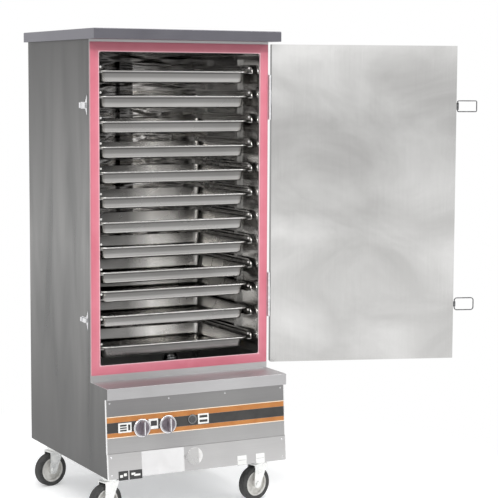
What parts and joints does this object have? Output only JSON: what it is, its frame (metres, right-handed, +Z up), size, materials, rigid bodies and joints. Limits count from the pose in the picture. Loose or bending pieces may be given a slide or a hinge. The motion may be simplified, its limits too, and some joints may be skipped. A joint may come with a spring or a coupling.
{
  "type": "rice steamer cabinet",
  "caption": "Gas-fired rice steamer cabinet on casters, with an open insulated door, silicone gasket, tray racks with pressed trays, a burner box with knobs, and wire latches.",
  "frame": {"origin": "on the floor under the middle of the cabinet body", "axes": "+Z up, the door side faces -Y, +X to the right seen from the front"},
  "size_m": [1.4808, 0.8924, 1.71],
  "materials": {
    "sheet_steel": "satin",
    "bright_steel": "gloss",
    "tray_steel": "satin",
    "plated_steel": "gloss",
    "gasket_silicone": "satin",
    "insulation_foam": "matte",
    "frame_steel": "satin",
    "cast_iron": "matte",
    "brass": "satin",
    "knob_plastic": "satin",
    "button_plastic": "gloss",
    "tyre_rubber": "matte",
    "hub_plastic": "satin"
  },
  "bodies": {
    "cabinet": {"lid": "sheet_steel", "outer_side_panels": "sheet_steel", "outer_back_panel": "sheet_steel", "chamber_shell": "bright_steel", "chamber_back_wall": "bright_steel", "body_insulation": "insulation_foam", "front_flange": "bright_steel", "door_gasket": "gasket_silicone", "tray_racks": "sheet_steel", "water_pan": "sheet_steel", "float_valve": "brass", "drain_pipe": "sheet_steel", "base_frame": "frame_steel", "base_pan": "sheet_steel", "base_cheeks": "sheet_steel", "base_ledge": "sheet_steel", "control_panel": "sheet_steel", "access_panel": "sheet_steel", "gas_burners": "cast_iron", "gas_manifold": "brass", "igniter_body": "plated_steel", "latch_keepers": "plated_steel", "hinge_body_leaves": "plated_steel", "caster_plates": "plated_steel"},
    "door": {"door_outer_panel": "sheet_steel", "door_inner_panel": "bright_steel", "door_insulation": "insulation_foam", "hinge_door_leaves": "plated_steel", "latch_brackets": "plated_steel"},
    "upper_latch": {"latch_loop_upper": "plated_steel"},
    "lower_latch": {"latch_loop_lower": "plated_steel"},
    "left_knob": {"gas_knob_left": "knob_plastic"},
    "right_knob": {"gas_knob_right": "knob_plastic"},
    "igniter": {"igniter_button": "button_plastic"},
    "cover": {"lighting_hole_cover": "sheet_steel"},
    "float": {"float_arm": "plated_steel"},
    "tray_01_body": {"tray_01": "tray_steel"},
    "tray_02_body": {"tray_02": "tray_steel"},
    "tray_03_body": {"tray_03": "tray_steel"},
    "tray_04_body": {"tray_04": "tray_steel"},
    "tray_05_body": {"tray_05": "tray_steel"},
    "tray_06_body": {"tray_06": "tray_steel"},
    "tray_07_body": {"tray_07": "tray_steel"},
    "tray_08_body": {"tray_08": "tray_steel"},
    "tray_09_body": {"tray_09": "tray_steel"},
    "tray_10_body": {"tray_10": "tray_steel"},
    "tray_11_body": {"tray_11": "tray_steel"},
    "tray_12_body": {"tray_12": "tray_steel"},
    "front_left_fork": {"caster_fork_front_left": "plated_steel"},
    "front_left_wheel": {"caster_hub_front_left": "hub_plastic", "caster_tyre_front_left": "tyre_rubber"},
    "front_right_fork": {"caster_fork_front_right": "plated_steel"},
    "front_right_wheel": {"caster_hub_front_right": "hub_plastic", "caster_tyre_front_right": "tyre_rubber"},
    "rear_left_fork": {"caster_fork_rear_left": "plated_steel"},
    "rear_left_wheel": {"caster_hub_rear_left": "hub_plastic", "caster_tyre_rear_left": "tyre_rubber"},
    "rear_right_fork": {"caster_fork_rear_right": "plated_steel"},
    "rear_right_wheel": {"caster_hub_rear_right": "hub_plastic", "caster_tyre_rear_right": "tyre_rubber"}
  },
  "joints": [
    {"name": "door_hinge", "type": "hinge", "parent": "cabinet", "child": "door", "pos_m": [0.354, -0.3076, 1.1], "axis": [0, 0, 1], "range_deg": [-161, 19]},
    {"name": "upper_latch_turn", "type": "hinge", "parent": "door", "child": "upper_latch", "pos_m": [1.03085, -0.52268, 1.444], "axis": [0, 0, -1], "range_deg": [0, 90]},
    {"name": "lower_latch_turn", "type": "hinge", "parent": "door", "child": "lower_latch", "pos_m": [1.03085, -0.52268, 0.7035], "axis": [0, 0, -1], "range_deg": [0, 90]},
    {"name": "tray_01_slide", "type": "slide", "parent": "cabinet", "child": "tray_01_body", "axis": [0, -1, 0], "range_m": [0, 0.3]},
    {"name": "tray_02_slide", "type": "slide", "parent": "cabinet", "child": "tray_02_body", "axis": [0, -1, 0], "range_m": [0, 0.3]},
    {"name": "tray_03_slide", "type": "slide", "parent": "cabinet", "child": "tray_03_body", "axis": [0, -1, 0], "range_m": [0, 0.3]},
    {"name": "tray_04_slide", "type": "slide", "parent": "cabinet", "child": "tray_04_body", "axis": [0, -1, 0], "range_m": [0, 0.3]},
    {"name": "tray_05_slide", "type": "slide", "parent": "cabinet", "child": "tray_05_body", "axis": [0, -1, 0], "range_m": [0, 0.3]},
    {"name": "tray_06_slide", "type": "slide", "parent": "cabinet", "child": "tray_06_body", "axis": [0, -1, 0], "range_m": [0, 0.3]},
    {"name": "tray_07_slide", "type": "slide", "parent": "cabinet", "child": "tray_07_body", "axis": [0, -1, 0], "range_m": [0, 0.3]},
    {"name": "tray_08_slide", "type": "slide", "parent": "cabinet", "child": "tray_08_body", "axis": [0, -1, 0], "range_m": [0, 0.3]},
    {"name": "tray_09_slide", "type": "slide", "parent": "cabinet", "child": "tray_09_body", "axis": [0, -1, 0], "range_m": [0, 0.3]},
    {"name": "tray_10_slide", "type": "slide", "parent": "cabinet", "child": "tray_10_body", "axis": [0, -1, 0], "range_m": [0, 0.3]},
    {"name": "tray_11_slide", "type": "slide", "parent": "cabinet", "child": "tray_11_body", "axis": [0, -1, 0], "range_m": [0, 0.3]},
    {"name": "tray_12_slide", "type": "slide", "parent": "cabinet", "child": "tray_12_body", "axis": [0, -1, 0], "range_m": [0, 0.3]},
    {"name": "left_knob_turn", "type": "hinge", "parent": "cabinet", "child": "left_knob", "pos_m": [-0.218, -0.43883, 0.333], "axis": [0, -0.998, 0.0637], "range_deg": [0, 180]},
    {"name": "right_knob_turn", "type": "hinge", "parent": "cabinet", "child": "right_knob", "pos_m": [-0.119, -0.43857, 0.337], "axis": [0, -0.998, 0.0637], "range_deg": [0, 180]},
    {"name": "igniter_push", "type": "slide", "parent": "cabinet", "child": "igniter", "axis": [0, 0.998, -0.0637], "range_m": [0, 0.004], "stiffness_N_per_m": 900},
    {"name": "cover_swing", "type": "hinge", "parent": "cabinet", "child": "cover", "pos_m": [-0.05, -0.45083, 0.215], "axis": [0, -0.9947, 0.1029], "range_deg": [0, 90]},
    {"name": "float_swing", "type": "hinge", "parent": "cabinet", "child": "float", "pos_m": [0.12, 0.197, 0.5], "axis": [1, 0, 0], "range_deg": [-6, 12]},
    {"name": "front_left_swivel", "type": "hinge", "parent": "cabinet", "child": "front_left_fork", "pos_m": [-0.296, -0.34, 0.14], "axis": [0, 0, 1], "continuous": true},
    {"name": "front_left_roll", "type": "hinge", "parent": "front_left_fork", "child": "front_left_wheel", "pos_m": [-0.31555, -0.34423, 0.0625], "axis": [0.2113, -0.9774, 0], "continuous": true},
    {"name": "front_right_swivel", "type": "hinge", "parent": "cabinet", "child": "front_right_fork", "pos_m": [0.296, -0.34, 0.14], "axis": [0, 0, 1], "continuous": true},
    {"name": "front_right_roll", "type": "hinge", "parent": "front_right_fork", "child": "front_right_wheel", "pos_m": [0.27645, -0.34423, 0.0625], "axis": [0.2113, -0.9774, 0], "continuous": true},
    {"name": "rear_left_swivel", "type": "hinge", "parent": "cabinet", "child": "rear_left_fork", "pos_m": [-0.296, 0.195, 0.14], "axis": [0, 0, 1], "continuous": true},
    {"name": "rear_left_roll", "type": "hinge", "parent": "rear_left_fork", "child": "rear_left_wheel", "pos_m": [-0.31555, 0.19077, 0.0625], "axis": [0.2113, -0.9774, 0], "continuous": true},
    {"name": "rear_right_swivel", "type": "hinge", "parent": "cabinet", "child": "rear_right_fork", "pos_m": [0.296, 0.195, 0.14], "axis": [0, 0, 1], "continuous": true},
    {"name": "rear_right_roll", "type": "hinge", "parent": "rear_right_fork", "child": "rear_right_wheel", "pos_m": [0.27645, 0.19077, 0.0625], "axis": [0.2113, -0.9774, 0], "continuous": true}
  ]
}
